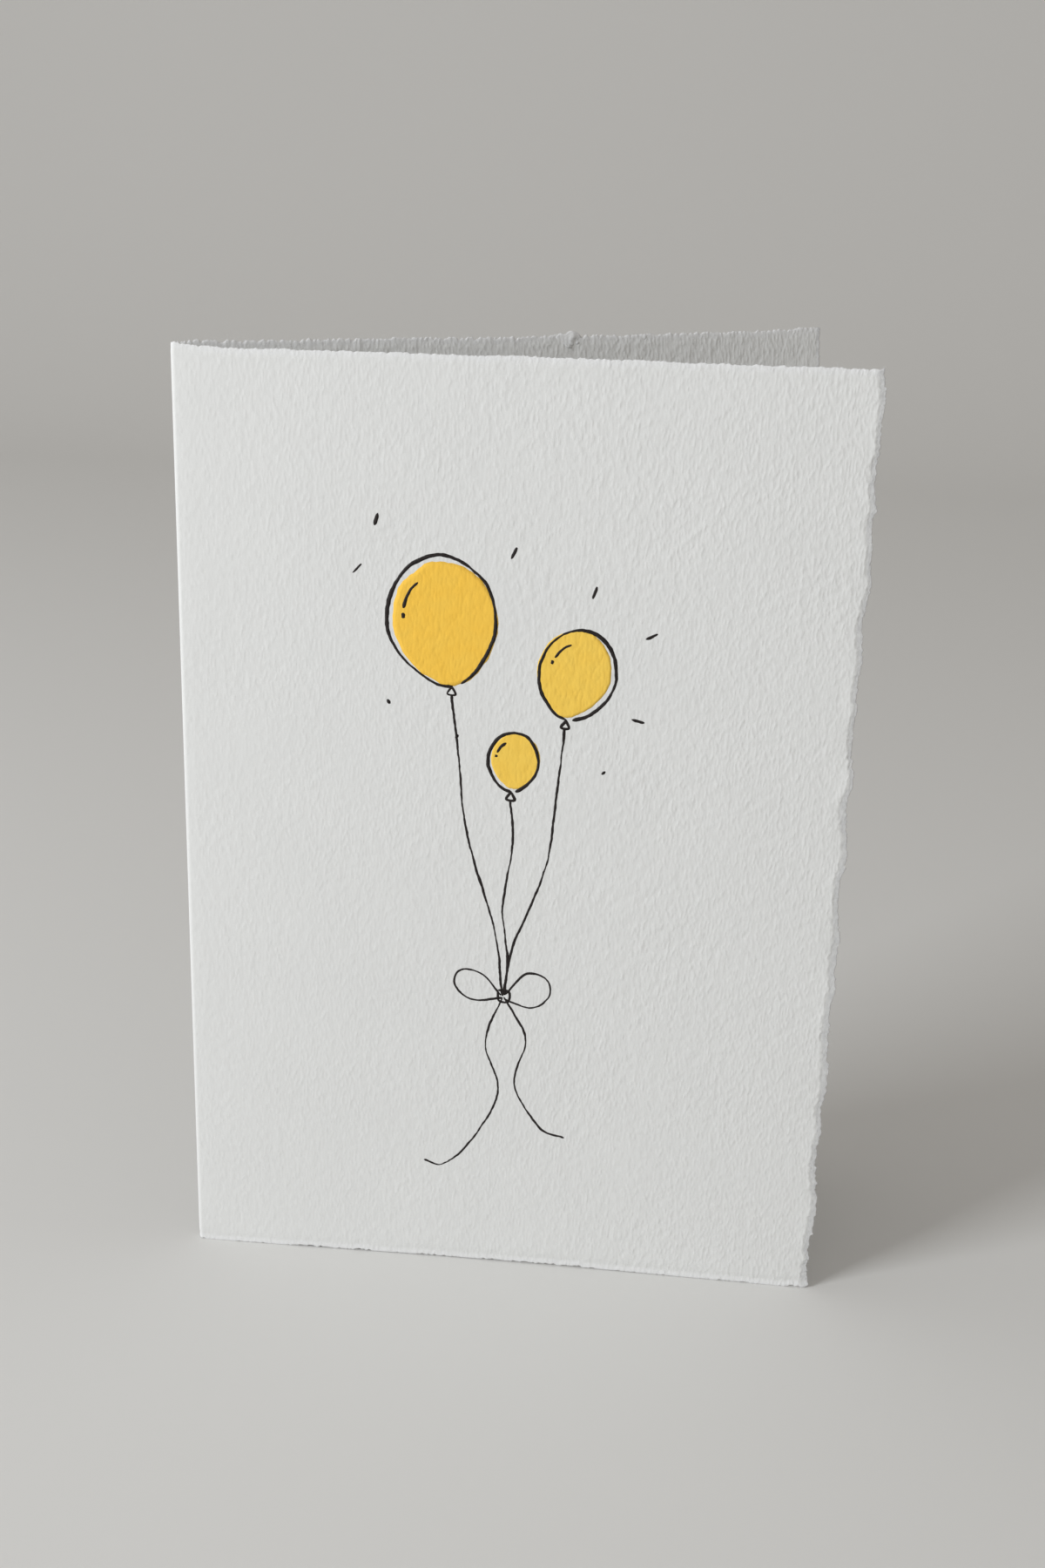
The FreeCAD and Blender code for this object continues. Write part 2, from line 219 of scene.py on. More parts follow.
def in_box(place):
    """The nearest place inside the sheet's own box."""
    return Vector(clamped(value, least, most) for value, least, most in zip(place, low, high))


def shaped(across, height):
    """The blank's edges drawn in or out to the tear and the deckle, fading inwards."""
    front = across > 0
    near_fore = eased(1 - (HALF_SHEET - abs(across)) / EDGE_FADE)
    to_fore = (fore_edge(front, height) - LEAF_RUN) * near_fore
    to_top = (torn_top(across) - LEAF_HEIGHT) * eased(1 - (LEAF_HEIGHT - height) / EDGE_FADE)
    to_foot = torn_foot(across) * eased(1 - height / EDGE_FADE)
    return across + math.copysign(to_fore, across), height + to_top + to_foot


# The flat blank: a coarse sheet, scored along its edges and at the fold, with the cells along
# the edges cut short for the tear and the deckle
COLUMNS, ROWS = 70, 51
EDGE_LINES = (0.12, 0.28, 0.48, 0.7, 0.92, 1.1, 1.3, 1.5, 1.7, 2.1, 3.0, 4.6)
FOLD_SCORES = 7
TORN_CELL = 0.2 * MM
CUT_BAND = 2.2 * MM

blank = bmesh.new()
spread = Matrix.Diagonal((HALF_SHEET, LEAF_HEIGHT / 2, 1, 1))
bmesh.ops.create_grid(blank, x_segments=COLUMNS, y_segments=ROWS, size=1.0,
                      matrix=Matrix.Translation((0, LEAF_HEIGHT / 2, 0)) @ spread)


def score(place, direction):
    everything = blank.verts[:] + blank.edges[:] + blank.faces[:]
    bmesh.ops.bisect_plane(blank, geom=everything, dist=1e-6, plane_co=place, plane_no=direction)


for line in EDGE_LINES:
    for side in (-1, 1):
        score((side * (HALF_SHEET - line * MM), 0, 0), (1, 0, 0))
    score((0, line * MM, 0), (0, 1, 0))
    score((0, LEAF_HEIGHT - line * MM, 0), (0, 1, 0))
for step in range(-FOLD_SCORES, FOLD_SCORES + 1):
    score((FOLD_HALF * step / FOLD_SCORES, 0, 0), (1, 0, 0))


def cut_short(edge_list):
    longest = max(edge.calc_length() for edge in edge_list)
    bmesh.ops.subdivide_edges(blank, edges=edge_list, cuts=math.ceil(longest / TORN_CELL) - 1)


def span(edge, axis):
    return abs(edge.verts[0].co[axis] - edge.verts[1].co[axis])


cut_short([
    edge for edge in blank.edges
    if span(edge, 1) > 4 * TORN_CELL and HALF_SHEET - abs(edge.verts[0].co.x) < CUT_BAND
])
cut_short([
    edge for edge in blank.edges
    if span(edge, 0) > 4 * TORN_CELL
    and min(edge.verts[0].co.y, LEAF_HEIGHT - edge.verts[0].co.y) < CUT_BAND
])
bmesh.ops.solidify(blank, geom=blank.faces[:], thickness=THICKNESS)
middle = sum(vert.co.z for vert in blank.verts) / len(blank.verts)
rim = [edge for edge in blank.edges if span(edge, 2) > THICKNESS / 2]
bmesh.ops.subdivide_edges(blank, edges=rim, cuts=1)


def felt_bite(across, height):
    """Depth of the felt's print: rubbed down beside the fold and the foot, deepest at the back."""
    from_fold = clamped(run_of(across) / LEAF_RUN, 0, 1)
    patches = 1 + 0.3 * noise.noise(Vector((across, height, 0)) / (14 * MM))
    patches *= 1 + 0.25 * eased(-across / (10 * MM))
    return (0.58 + 0.74 * from_fold ** 0.7) * (0.94 + 0.12 * height / LEAF_HEIGHT) * patches


def felt_marks(shape):
    """Two attributes for the materials: the place on the flat sheet, and the grain's depth."""
    return shape.verts.layers.float_vector.new("unfolded"), shape.verts.layers.float.new("bite")


def settle(vert, marks, across, height, out):
    """Fold one point of the flat sheet into its place."""
    unfolded, bite = marks
    vert[unfolded] = (low.x + FOLD_RADIUS + across - FOLD_HALF, low.y - out, height)
    vert[bite] = felt_bite(across, height)
    vert.co = in_box(folded(across, height, out))


marks = felt_marks(blank)
# The deckle's band mask raises real tufts and fades the grain, and also carries the painted shade
# in the paper's colour
deckle_fluff_and_shade, torn = blank.verts.layers.float.new("deckle_fluff_and_shade"), blank.verts.layers.float.new("torn")
# Tufts in relief on the edges' bands run outwards: upright along the tear, level on the deckle
TUFT_RELIEF, TUFT_WIDTH, TUFT_LENGTH = 0.13 * MM, 0.32 * MM, 1.1 * MM
FRONT_TUFTS, BACK_TUFTS = 0.3, 0.5
FLUFF_AND_SHADE_START, TORN_START = 2.4, 1.3
BACK_SKEW = 0.8
for vert in blank.verts:
    across, height = vert.co.x, vert.co.y
    side = clamped((vert.co.z - middle) / (THICKNESS / 2), -1, 1)
    in_deckle = 1 - (HALF_SHEET - abs(across)) / deckle_band(across > 0, height)
    in_tear = 1 - min(height, LEAF_HEIGHT - height) / TORN_BAND
    vert[deckle_fluff_and_shade], vert[torn] = eased(FLUFF_AND_SHADE_START * in_deckle), eased(TORN_START * in_tear)
    new_across, new_height = shaped(across, height)
    tuft_width, tuft_height = TUFT_LENGTH, TUFT_WIDTH
    if in_tear > in_deckle:
        tuft_width, tuft_height = TUFT_WIDTH, TUFT_LENGTH
    tufts = noise.noise(Vector((across / tuft_width, height / tuft_height, side)))
    leaf_tufts = FRONT_TUFTS if across > 0 else BACK_TUFTS
    tufts *= TUFT_RELIEF * eased(TORN_START * max(in_tear, in_deckle)) * leaf_tufts
    half = half_thickness(across, height)
    if across < 0:
        # The back leaf's deckle lies level with its inner side
        tufts -= BACK_SKEW * (THICKNESS / 2 - half) * eased(2 * in_deckle)
    settle(vert, marks, new_across, new_height, side * half + tufts - lean(across, height))
bmesh.ops.recalc_face_normals(blank, faces=blank.faces[:])


def finished(shape, name, finish):
    """Make a piece of the card from its bmesh."""
    mesh = bpy.data.meshes.new(name)
    shape.to_mesh(mesh)
    shape.free()
    mesh.materials.append(finish)
    mesh.shade_smooth()
    piece = bpy.data.objects.new(name, mesh)
    bpy.context.scene.collection.objects.link(piece)
    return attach(piece, "root")


class Tone:
    """A value at each point of a surface: one socket of its material."""

    def __init__(self, tree, socket=None):
        self.tree = tree
        self.socket = socket

    def node(self, kind, settings, values, outcome=0):
        """Add a node: its settings first, then the values or links of its sockets."""
        added = self.tree.nodes.new("ShaderNode" + kind)
        for name, setting in settings.items():
            setattr(added, name, setting)
        for name, value in values.items():
            if isinstance(value, Tone):
                self.tree.links.new(value.socket, added.inputs[name])
            else:
                added.inputs[name].default_value = value
        return Tone(self.tree, added.outputs[outcome] if len(added.outputs) else None)

    def maths(self, operation, first, second):
        return self.node("Math", {"operation": operation}, {0: first, 1: second})

    def __add__(self, other):
        return self.maths("ADD", self, other)

    def __sub__(self, other):
        return self.maths("SUBTRACT", self, other)

    def __rsub__(self, other):
        return self.maths("SUBTRACT", other, self)

    def __mul__(self, other):
        return self.maths("MULTIPLY", self, other)

    __radd__ = __add__
    __rmul__ = __mul__

    def cloud(self, size, detail=2.0):
        """Soft random patches of about this size, from 0 to 1."""
        return self.node("TexNoise", {}, {"Vector": self, "Scale": 1 / size, "Detail": detail})


def linear(red, green, blue):
    """A colour as it is seen, 0 to 255, in the linear values that a shader takes."""
    shares = (value / 255 for value in (red, green, blue))
    return (*(((s + 0.055) / 1.055) ** 2.4 if s > 0.04045 else s / 12.92 for s in shares), 1.0)


def blended(share, first, second):
    """A colour between two others."""
    return share.node("Mix", {"data_type": "RGBA"}, {0: share, 6: first, 7: second}, 2)


# The felt's print: upright pebbles that lean and wander a little, a broad swell and a fine tooth
PEBBLE_SIZE, PEBBLE_STRETCH, PEBBLE_LEAN = 0.46 * MM, 2.3, 0.05
PEBBLE_HEIGHT, PIT_DEPTH = 0.055 * MM, 0.045 * MM
DRIFT, DRIFT_SIZE = 0.2 * MM, 4 * MM
SWELL_SIZE, SWELL_HEIGHT = 1.4 * MM, 0.08 * MM
TOOTH_SIZE, TOOTH_HEIGHT = 0.3 * MM, 0.008 * MM
MATT_SPECULAR = 0.25


def felt_grain(start):
    """The place on the flat sheet, and the height there of the felt's print in the paper."""
    place = start.node("Attribute", {"attribute_name": "unfolded"}, {}, "Vector")
    bite = start.node("Attribute", {"attribute_name": "bite"}, {}, "Fac")
    drift = place.node("TexNoise", {},
                       {"Vector": place, "Scale": 1 / DRIFT_SIZE, "Detail": 1.0}, "Color")
    wandered = place.node("VectorMath", {"operation": "MULTIPLY_ADD"},
                          {0: drift, 1: (DRIFT, 0, DRIFT), 2: place})
    turned = {"Rotation": (0, PEBBLE_LEAN, 0), "Scale": (1.0, 1.0, PEBBLE_STRETCH)}
    leaning = place.node("Mapping", {"vector_type": "TEXTURE"}, {"Vector": wandered, **turned})
    pebbles = leaning.cloud(PEBBLE_SIZE, 0.5)
    pits = place.maths("MINIMUM", pebbles, 0.5)
    swell = place.cloud(SWELL_SIZE, 0.0) * SWELL_HEIGHT
    tooth = place.cloud(TOOTH_SIZE, 0.0) * TOOTH_HEIGHT
    return place, (pebbles * PEBBLE_HEIGHT + pits * PIT_DEPTH + swell + tooth) * bite


def painted(name, start, colour, roughness, height):
    """A matt finish with its colour and the height of its relief."""
    relief = start.node("Bump", {}, {"Strength": 1.0, "Distance": 1.0, "Height": height})
    values = {"Base Color": colour, "Roughness": roughness, "Normal": relief}
    surface = start.node("BsdfPrincipled", {}, {**values, "Specular IOR Level": MATT_SPECULAR})
    start.node("OutputMaterial", {}, {"Surface": surface})


def new_material(name):
    """An empty material, and the start of its shader."""
    material = bpy.data.materials.new(name)
    material.use_nodes = True
    material.node_tree.nodes.clear()
    return material, Tone(material.node_tree)


PAPER = linear(231, 232, 231)
PAPER_SHADE = linear(227, 228, 227)
PAPER_TORN = linear(234, 235, 236)
# Painted shade: the deckle's thin lip is coloured darker than the body, as if it lay in shade
DECKLE_PAINTED_SHADE = linear(206, 207, 208)
PAPER_ROUGHNESS = 0.93
SHADE_SIZE, PATCH_SIZE, PATCH_GAIN, PAPER_TUFT_SIZE = 11 * MM, 0.8 * MM, 1.4, 0.3 * MM
FLUFF_TUFTS, TORN_TUFTS = 0.05 * MM, 0.04 * MM
# The felt's print fades by these shares on the deckle and on the tear
FLUFF_FADE, TORN_FADE = 0.4, 0.2

rag_paper, start = new_material("cotton_rag_paper")
place, grain = felt_grain(start)
deckled = start.node("Attribute", {"attribute_name": "deckle_fluff_and_shade"}, {}, "Fac")
torn_open = start.node("Attribute", {"attribute_name": "torn"}, {}, "Fac")
body = blended(place.cloud(SHADE_SIZE, 3.0), PAPER_SHADE, PAPER)
patches = place.cloud(PATCH_SIZE, 3.0) * PATCH_GAIN
bared = blended(torn_open * patches, body, PAPER_TORN)
# Painted shade: on the deckle's band the colour turns darker in patches
colour = blended(deckled * patches, bared, DECKLE_PAINTED_SHADE)
tufts = place.cloud(PAPER_TUFT_SIZE, 2.0) * (deckled * FLUFF_TUFTS + torn_open * TORN_TUFTS)
relief = grain * (1 - deckled * FLUFF_FADE) * (1 - torn_open * TORN_FADE) + tufts
painted(rag_paper, start, colour, PAPER_ROUGHNESS, relief)

sheet = finished(blank, "cotton_sheet", rag_paper)
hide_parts("folded_sheet")

# The loose fibres
# Cotton hairs that the tear and the mould left standing out of the sheet's edges. Each is bent
# its own way, and the longest are about a millimetre.

HAIR_RADIUS = 0.02 * MM
HAIR_ROOT = 0.12 * MM
DOUBLINGS = 11
SPACING = 4
HAIR_SHARES = {"top": 0.45, "fore": 0.4, "foot": 0.15}
HAIR_LENGTHS = (0.15, 0.2, 0.25, 0.3, 0.4)
LONG_SHARE, LONG_LEAST, LONG_MOST = 0.04, 0.6, 1.1
HEADING_SPREAD, CURL_SPREAD, LIFT_SPREAD = 0.6, 1.1, 0.35
chance = random.Random(5)


def hair():
    """Chance place on the flat sheet's edges, depth, heading, curl, lift and length of one hair."""
    side = chance.choice((1, -1))
    edge = chance.choices(list(HAIR_SHARES), list(HAIR_SHARES.values()))[0]
    across = side * chance.uniform(FOLD_HALF, HALF_SHEET)
    height = chance.uniform(0, LEAF_HEIGHT)
    lip = DECKLE_LIP if edge == "fore" else TORN_LIP
    if edge == "top":
        root, outwards = (across, torn_top(across)), math.pi / 2
    elif edge == "foot":
        root, outwards = (across, torn_foot(across)), -math.pi / 2
    else:
        root = (side * (FOLD_HALF + fore_edge(side > 0, height)), height)
        outwards = 0 if side > 0 else math.pi
    length = chance.choice(HAIR_LENGTHS) * MM
    if chance.random() < LONG_SHARE:
        length = chance.uniform(LONG_LEAST, LONG_MOST) * MM
    depth = chance.uniform(-0.3, 0.3) * lip * THICKNESS
    heading = outwards + chance.gauss(0, HEADING_SPREAD)
    curl, lift = chance.gauss(0, CURL_SPREAD), chance.gauss(0, LIFT_SPREAD)
    return root, depth, heading, curl, lift, length


# One hair is drawn upright, and doubled into a row
hairs = bmesh.new()
bmesh.ops.create_cone(hairs, cap_ends=True, segments=3, radius1=1, radius2=0.4, depth=1)
sides = [edge for edge in hairs.edges if span(edge, 2) > 0.5]
bmesh.ops.subdivide_edges(hairs, edges=sides, cuts=2)
for doubling in range(DOUBLINGS):
    so_far = hairs.verts[:] + hairs.edges[:] + hairs.faces[:]
    copied = bmesh.ops.duplicate(hairs, geom=so_far)["geom"]
    row = [item for item in copied if isinstance(item, bmesh.types.BMVert)]
    bmesh.ops.translate(hairs, verts=row, vec=(SPACING * 2 ** doubling, 0, 0))

grown = [hair() for _ in range(2 ** DOUBLINGS)]
hair_marks = felt_marks(hairs)
hair_torn = hairs.verts.layers.float.new("torn")
for vert in hairs.verts:
    number = round(vert.co.x / SPACING)
    root, depth, heading, curl, lift, length = grown[number]
    share = vert.co.z + 0.5
    aside = (vert.co.x - SPACING * number) * HAIR_RADIUS
    angle = heading + curl * share
    along = length * share - HAIR_ROOT
    across = root[0] + math.cos(angle) * along - math.sin(angle) * aside
    height = root[1] + math.sin(angle) * along + math.cos(angle) * aside
    vert[hair_torn] = 1.0
    out = depth + lift * length * share + vert.co.y * HAIR_RADIUS - lean(*root)
    settle(vert, hair_marks, across, height, out)
bmesh.ops.recalc_face_normals(hairs, faces=hairs.faces[:])
finished(hairs, "loose_fibres", rag_paper)

# The torn flakes
# Two flaps of the paper's inner layers that the tear pulled loose on the back leaf's top. Each
# bulges off the leaf's inner side, steepest at its foot and on the side away from the fold.

FLAKE_THICKNESS = 0.14 * MM
# Each flake: how far along the leaf it is, half its width, its length below the top, its rise
# above it, and how far it stands off
FLAKES = (
    (61.1 * MM, 2.15 * MM, 0.95 * MM, 0.82 * MM, 0.34 * MM),
    (73.9 * MM, 0.6 * MM, 0.6 * MM, 0.2 * MM, 0.12 * MM),
)


def bulge(share):
    """Rises over the first two fifths and falls over the rest."""
    return clamped(min(share / 0.4, (1 - share) / 0.6), 0, 1)


flakes = bmesh.new()
for number in range(len(FLAKES)):
    bmesh.ops.create_grid(flakes, x_segments=14, y_segments=9, size=1.0,
                          matrix=Matrix.Translation((SPACING * number, 0, 0)))
bmesh.ops.solidify(flakes, geom=flakes.faces[:], thickness=FLAKE_THICKNESS)
flake_middle = sum(vert.co.z for vert in flakes.verts) / len(flakes.verts)
flake_marks = felt_marks(flakes)
flake_torn = flakes.verts.layers.float.new("torn")
for vert in flakes.verts:
    number = round(vert.co.x / SPACING)
    run, width, root, rise, stand = FLAKES[number]
    aside, risen = vert.co.x - SPACING * number, clamped(0.5 + vert.co.y / 2, 0, 1)
    breadth = 0.25 + 0.75 * risen ** 0.7 + 0.15 * uneven(risen, 0.3, 50)
    across = width * (aside * breadth - 0.5 * (1 - risen)) - FOLD_HALF - run
    ragged = 1 + 0.5 * uneven(aside, 0.5, 51) - 0.95 * abs(aside + 0.2)
    crest = BACK_RISE * run / LEAF_WIDTH + rise * ragged
    height = LEAF_HEIGHT + crest - (1 - risen) * (root + rise) * (1 + 0.25 * uneven(aside, 0.5, 52))
    standing = stand * bulge(0.5 + 0.5 * aside) * bulge(risen)
    inside = -half_thickness(across, height) - standing
    out = inside + (vert.co.z - flake_middle) - lean(across, height)
    vert[flake_torn] = 1.0
    settle(vert, flake_marks, across, height, out)
bmesh.ops.recalc_face_normals(flakes, faces=flakes.faces[:])
finished(flakes, "torn_flakes", rag_paper)

# The drawing
# A bunch of balloons on strings, drawn on the front leaf with a soft pen in black ink, over
# patches of yellow gouache that were brushed in a little off the lines. Both dried as thin films.

INK_FILM, GOUACHE_FILM, FILM_ROOT = 0.02 * MM, 0.01 * MM, 0.012 * MM
PEN_STEP = 0.3
FILL_CELLS = 26
OUTLINE_PEN, STRING_PEN, TICK_PEN = 0.6, 0.38, 0.5

# Each balloon: its middle and size in millimetres, measured from the foot of the fold, its tilt,
# how far its colour was brushed off its outline, and which of the two yellows it has
BALLOONS = (
    ((41.5, 112.5), (17.0, 20.5), 0.16, (0.5, -0.35), "deep"),
    ((62.5, 105.0), (12.0, 14.5), -0.21, (-0.45, 0.3), "light"),
    ((53.0, 90.5), (8.0, 9.8), -0.05, (0.35, 0.25), "light"),
)
# Each string, from the knot of its balloon down to the bow
STRINGS = (
    ((44.2, 92.5), (45.9, 78.0), (50.6, 62.0), (52.2, 50.2)),
    ((60.2, 88.0), (58.6, 73.0), (53.7, 59.0), (52.5, 50.4)),
    ((53.3, 77.0), (51.9, 66.0), (52.9, 57.0), (52.3, 50.2)),
)
TAILS = (
    ((52.2, 50.0), (49.6, 41.5), (51.9, 32.5), (47.4, 23.0), (42.8, 18.2), (39.6, 18.9)),
    ((52.4, 50.0), (56.2, 42.8), (54.6, 34.2), (58.9, 26.6), (63.2, 24.9)),
)
BOW_LOOPS = (
    ((52.0, 50.3), (48.6, 54.0), (45.2, 54.3), (44.3, 51.6), (47.2, 49.2), (52.2, 49.9)),
    ((52.6, 50.4), (56.0, 54.4), (59.4, 53.6), (59.9, 50.7), (57.0, 48.4), (52.5, 49.7)),
    ((51.5, 51.2), (53.3, 51.0), (53.2, 49.2), (51.6, 49.3), (51.4, 51.0)),
)
TICKS = (
    ((27.6, 119.5), (28.9, 121.0)), ((31.0, 127.0), (31.4, 128.9)), ((51.9, 122.8), (52.7, 124.6)),
    ((72.8, 111.4), (74.6, 112.3)), ((71.2, 98.6), (73.2, 98.1)), ((64.4, 117.3), (65.0, 119.2)),
    ((43.8, 94.0), (44.2, 94.6)), ((66.9, 89.4), (67.5, 89.9)), ((33.4, 99.0), (33.0, 99.7)),
)
# Two short strokes of shine on each balloon: their first and last angle, and their share of the
# way to the rim. An outline runs from its first angle to its last, a little open at the end
SHINES = ((2.05, 2.75, 0.72), (2.85, 2.97, 0.72))
OUTLINE_TURN = (-1.35, 4.72)
OUTLINE_POINTS = 22
KNOT = ((0.1, 0.1), (-0.75, -1.25), (0.6, -1.35), (0.0, 0.0))
STRING_START = (-0.1, -1.3)


def balloon_point(balloon, angle, share):
    """A point of a balloon: its angle round the middle, and its share of the way to the rim."""
    middle, (width, height), tilt = balloon[:3]
    narrowing = 1 - 0.24 * max(-math.sin(angle), 0) ** 1.5
    spot = Vector((width / 2 * math.cos(angle) * narrowing, height / 2 * math.sin(angle))) * share
    return Vector(middle) + Matrix.Rotation(tilt, 2) @ spot


def smooth_line(points):
    """Points a pen's step apart on a smooth line through the given ones."""
    places = [Vector(point) for point in points]
    course = [2 * places[0] - places[1], *places, 2 * places[-1] - places[-2]]
    line = []
    for before, start, end, after in zip(course, course[1:], course[2:], course[3:]):
        steps = max(round((end - start).length / PEN_STEP), 2)
        leaving, arriving = start + (end - before) / 6, end - (after - start) / 6
        line += geometry.interpolate_bezier(start, leaving, arriving, end, steps + 1)[:-1]
    return line + [places[-1]]


def pen_line(page, points, pen, row):
    """Draw one stroke flat on the page: the pen presses unevenly, and its ends are round."""
    line = smooth_line(points)
    last = len(line) - 1
    for vert in bmesh.ops.create_grid(page, x_segments=last, y_segments=2, size=1.0)["verts"]:
        index = round((vert.co.x + 1) / 2 * last)
        course = line[min(index + 1, last)] - line[max(index - 1, 0)]
        sideways = Vector((-course.y, course.x)).normalized()
        drawn, from_end = index * PEN_STEP, min(index, last - index) * PEN_STEP
        press = 0.85 + 0.3 * uneven(drawn, 5.0, row) + 0.2 * math.exp(-from_end / 0.8)
        rounded = math.sqrt(clamped(0.12 + from_end / pen, 0, 1))
        ragged = 0.05 * uneven(drawn + 40 * vert.co.y, 0.6, row + 1) * abs(vert.co.y)
        shake = 0.08 * uneven(drawn, 2.5, row + 2)
        reach = vert.co.y * pen / 2 * press * rounded + ragged + shake
        vert.co = (*((line[index] + sideways * reach) * MM), 0)


def brushed_patch(page, balloon, row):
    """Brush a balloon's colour flat on the page, a little off its outline."""
    slip = Vector(balloon[3])
    made = bmesh.ops.create_grid(page, x_segments=FILL_CELLS, y_segments=FILL_CELLS, size=1.0)
    for vert in made["verts"]:
        angle = math.atan2(vert.co.y, vert.co.x)
        share = max(abs(vert.co.x), abs(vert.co.y))
        rim = 0.96 + 0.03 * uneven(2 * math.cos(angle), 0.8, row) + 0.012 * uneven(angle, 0.12, row)
        vert.co = (*((balloon_point(balloon, angle, share * rim) + slip) * MM), 0)


def dried_film(page, name, thickness, paint):
    """Give a flat drawing the thickness of its film and lay it on the front leaf."""
    bmesh.ops.solidify(page, geom=page.faces[:], thickness=thickness)
    middle = sum(vert.co.z for vert in page.verts) / len(page.verts)
    page_marks = felt_marks(page)
    for vert in page.verts:
        across, height = vert.co.x - FOLD_RADIUS + FOLD_HALF, vert.co.y
        proud = thickness if vert.co.z > middle else -FILM_ROOT
        out = half_thickness(across, height) - lean(across, height) + proud
        settle(vert, page_marks, across, height, out)
    bmesh.ops.recalc_face_normals(page, faces=page.faces[:])
    return finished(page, name, paint)


def paint_on_paper(name, thin, full, patch, roughness):
    """Ink or gouache soaked into the paper: it takes the paper's grain, and pools in patches."""
    material, start = new_material(name)
    place, grain = felt_grain(start)
    painted(material, start, blended(place.cloud(patch, 3.0), thin, full), roughness, grain)
    return material


YELLOWS = {
    "light": (linear(251, 213, 98), linear(252, 206, 84)),
    "deep": (linear(253, 208, 88), linear(254, 201, 74)),
}
INKS = linear(44, 38, 36), linear(24, 19, 19)
GOUACHE_POOL, GOUACHE_ROUGHNESS = 2.5 * MM, 0.85
INK_POOL, INK_ROUGHNESS = 1.2 * MM, 0.6

for tone, (thin, full) in YELLOWS.items():
    gouache = bmesh.new()
    for row, balloon in enumerate(BALLOONS, start=40):
        if balloon[4] == tone:
            brushed_patch(gouache, balloon, row)
    gouache_paint = paint_on_paper(
        f"{tone}_yellow_gouache", thin, full, GOUACHE_POOL, GOUACHE_ROUGHNESS)
    dried_film(gouache, f"{tone}_yellow_patches", GOUACHE_FILM, gouache_paint)

ink = bmesh.new()
strokes = []
for balloon, string in zip(BALLOONS, STRINGS):
    first, last = OUTLINE_TURN
    shares = [step / OUTLINE_POINTS for step in range(OUTLINE_POINTS + 1)]
    angles = [first + (last - first) * share for share in shares]
    wobble = [1 + 0.02 * uneven(angle, 0.5, balloon[1][0]) for angle in angles]
    strokes.append(([balloon_point(balloon, a, w) for a, w in zip(angles, wobble)], OUTLINE_PEN))
    foot = balloon_point(balloon, -math.pi / 2, 1.0)
    knot = [foot + Vector(step) for step in KNOT]
    strokes += [(knot, STRING_PEN), ((foot + Vector(STRING_START), *string), STRING_PEN)]
    for begin, end, share in SHINES:
        arc = [balloon_point(balloon, begin + (end - begin) * step / 4, share) for step in range(5)]
        strokes.append((arc, TICK_PEN))
strokes += [(line, STRING_PEN) for line in TAILS + BOW_LOOPS]
strokes += [(line, TICK_PEN) for line in TICKS]
for row, (line, pen) in enumerate(strokes):
    pen_line(ink, line, pen, 60 + 3 * row)
black_ink = paint_on_paper("black_ink", *INKS, INK_POOL, INK_ROUGHNESS)
dried_film(ink, "ink_lines", INK_FILM, black_ink)

# The studio
# A pale seamless sweep of paper carries the card: a level floor that curves up into a wall.

FLOOR_HALF_WIDTH, FLOOR_FRONT = 2.2, -1.6
WALL_PLACE, WALL_HEIGHT, SWEEP_RADIUS = 1.3, 1.8, 0.5
SWEEP_STEPS = 16

sweep = bmesh.new()
profile = [Vector((0, FLOOR_FRONT, low.z))]
for step in range(SWEEP_STEPS + 1):
    angle = math.pi / 2 * step / SWEEP_STEPS
    profile.append(Vector((0, WALL_PLACE - SWEEP_RADIUS * (1 - math.sin(angle)),
                           low.z + SWEEP_RADIUS * (1 - math.cos(angle)))))
profile.append(Vector((0, WALL_PLACE, low.z + WALL_HEIGHT)))
points = [sweep.verts.new(place - Vector((FLOOR_HALF_WIDTH, 0, 0))) for place in profile]
lines = [sweep.edges.new(pair) for pair in zip(points, points[1:])]
widened = bmesh.ops.extrude_edge_only(sweep, edges=lines)["geom"]
bmesh.ops.translate(sweep, verts=[item for item in widened if isinstance(item, bmesh.types.BMVert)],
                    vec=(2 * FLOOR_HALF_WIDTH, 0, 0))
bmesh.ops.recalc_face_normals(sweep, faces=sweep.faces[:])
sweep_mesh = bpy.data.meshes.new("studio_sweep")
sweep.to_mesh(sweep_mesh)
sweep.free()
sweep_mesh.shade_smooth()
studio_sweep = bpy.data.objects.new("studio_sweep", sweep_mesh)
bpy.context.scene.collection.objects.link(studio_sweep)

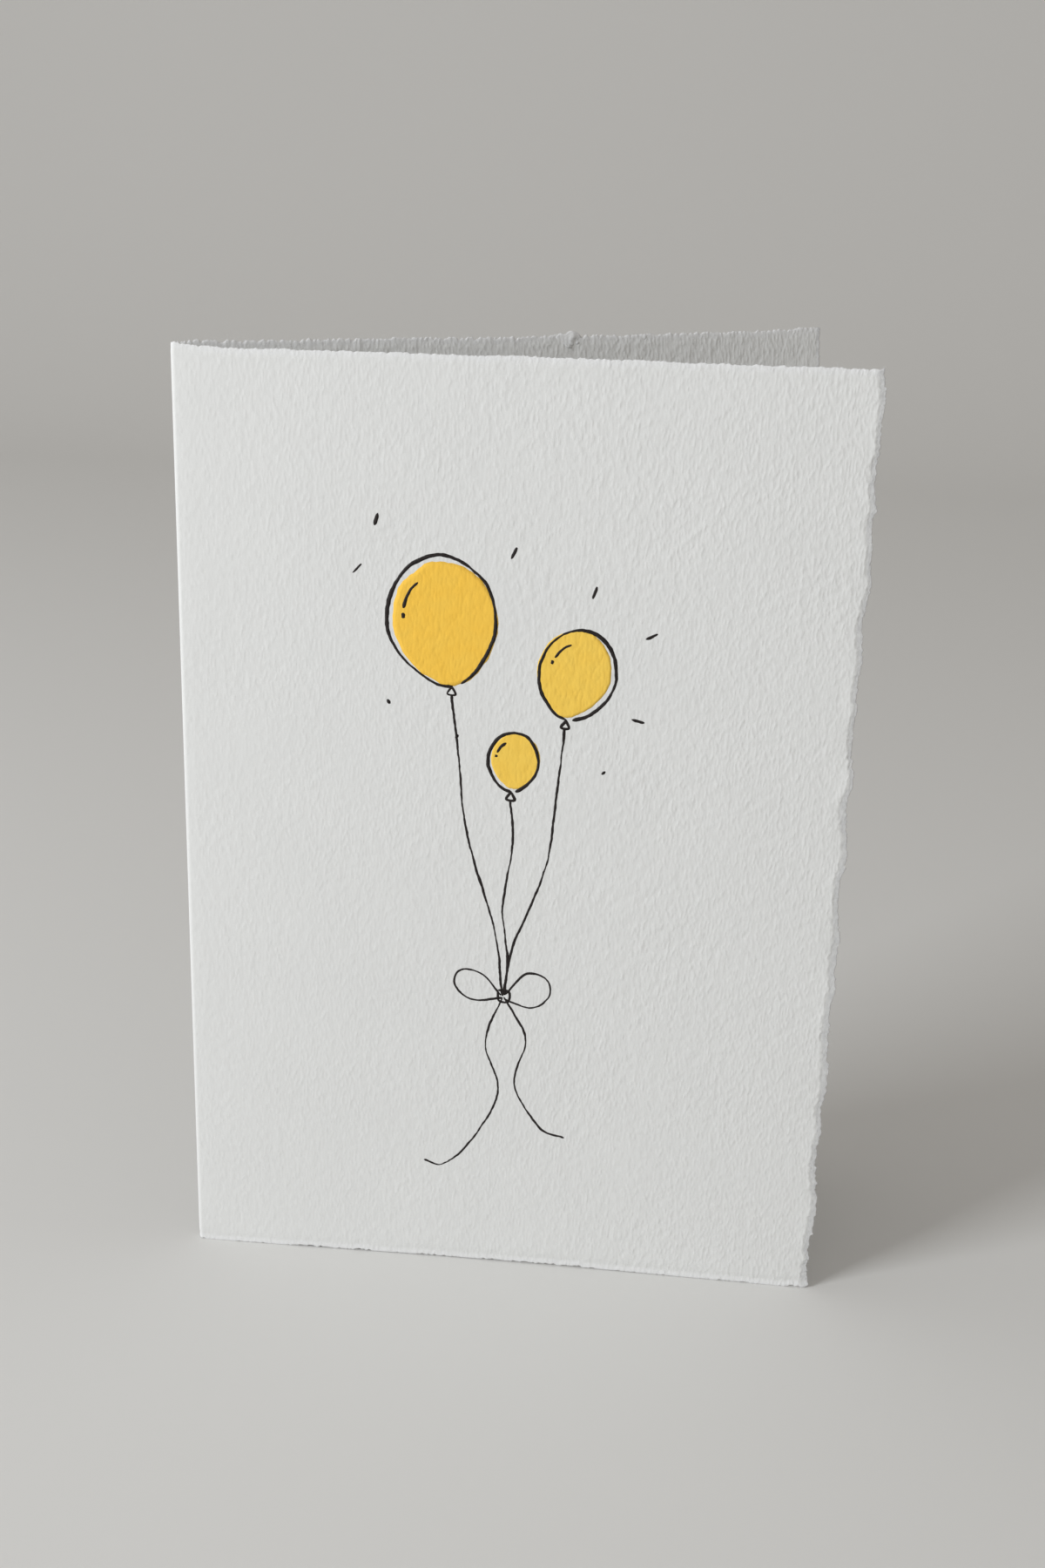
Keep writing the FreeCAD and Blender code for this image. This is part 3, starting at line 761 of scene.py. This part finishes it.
SWEEP_COLOUR = linear(229, 229, 227)
sweep_paint, paint = new_material("sweep_paint")
sweep_finish = {"Base Color": SWEEP_COLOUR, "Roughness": 0.9, "Specular IOR Level": 0.2}
sweep_surface = paint.node("BsdfPrincipled", {}, sweep_finish)
paint.node("OutputMaterial", {}, {"Surface": sweep_surface})
sweep_mesh.materials.append(sweep_paint)

# The lamps: a soft key from the left of the camera, and an even pale fill all round.

CARD_MIDDLE = (low + high) / 2
KEY_SIDE, KEY_RISE, KEY_DISTANCE, KEY_SIZE = math.radians(52), math.radians(21), 1.15, 0.4
KEY_WATTS, KEY_COLOUR = 8.6, (0.94, 0.965, 0.99)
FILL_STRENGTH, FILL_COLOUR = 0.412, (1.0, 0.955, 0.91, 1.0)

key_lamp = bpy.data.lights.new("key_lamp", "AREA")
key_lamp.energy = KEY_WATTS
key_lamp.color = KEY_COLOUR
key_lamp.size = KEY_SIZE
towards_key = Vector((-math.sin(KEY_SIDE) * math.cos(KEY_RISE),
                      -math.cos(KEY_SIDE) * math.cos(KEY_RISE), math.sin(KEY_RISE)))
key_light = bpy.data.objects.new("key_light", key_lamp)
key_light.location = CARD_MIDDLE + towards_key * KEY_DISTANCE
key_light.rotation_euler = towards_key.to_track_quat("Z", "Y").to_euler()
bpy.context.scene.collection.objects.link(key_light)

room = bpy.data.worlds.new("pale_room")
room.use_nodes = True
room.node_tree.nodes["Background"].inputs["Color"].default_value = FILL_COLOUR
room.node_tree.nodes["Background"].inputs["Strength"].default_value = FILL_STRENGTH
bpy.context.scene.world = room
bpy.context.scene.view_settings.view_transform = "Standard"

# The camera: a little above the card's top and to the right of its fold, looking down

CAMERA_PLACE = Vector((28.42, -296.41, 180.8)) * MM
CAMERA_YAW, CAMERA_PITCH, CAMERA_ROLL = (math.radians(value) for value in (5.55, -18.67, 1.63))
LENS = 42.77

camera = bpy.data.objects.new("camera", bpy.data.cameras.new("camera"))
camera.data.lens = LENS
camera.data.clip_start = 0.01
camera.matrix_world = (
    Matrix.Translation(CAMERA_PLACE)
    @ Matrix.Rotation(CAMERA_YAW, 4, "Z")
    @ Matrix.Rotation(math.pi / 2 + CAMERA_PITCH, 4, "X")
    @ Matrix.Rotation(CAMERA_ROLL, 4, "Z")
)
bpy.context.scene.collection.objects.link(camera)
bpy.context.scene.camera = camera
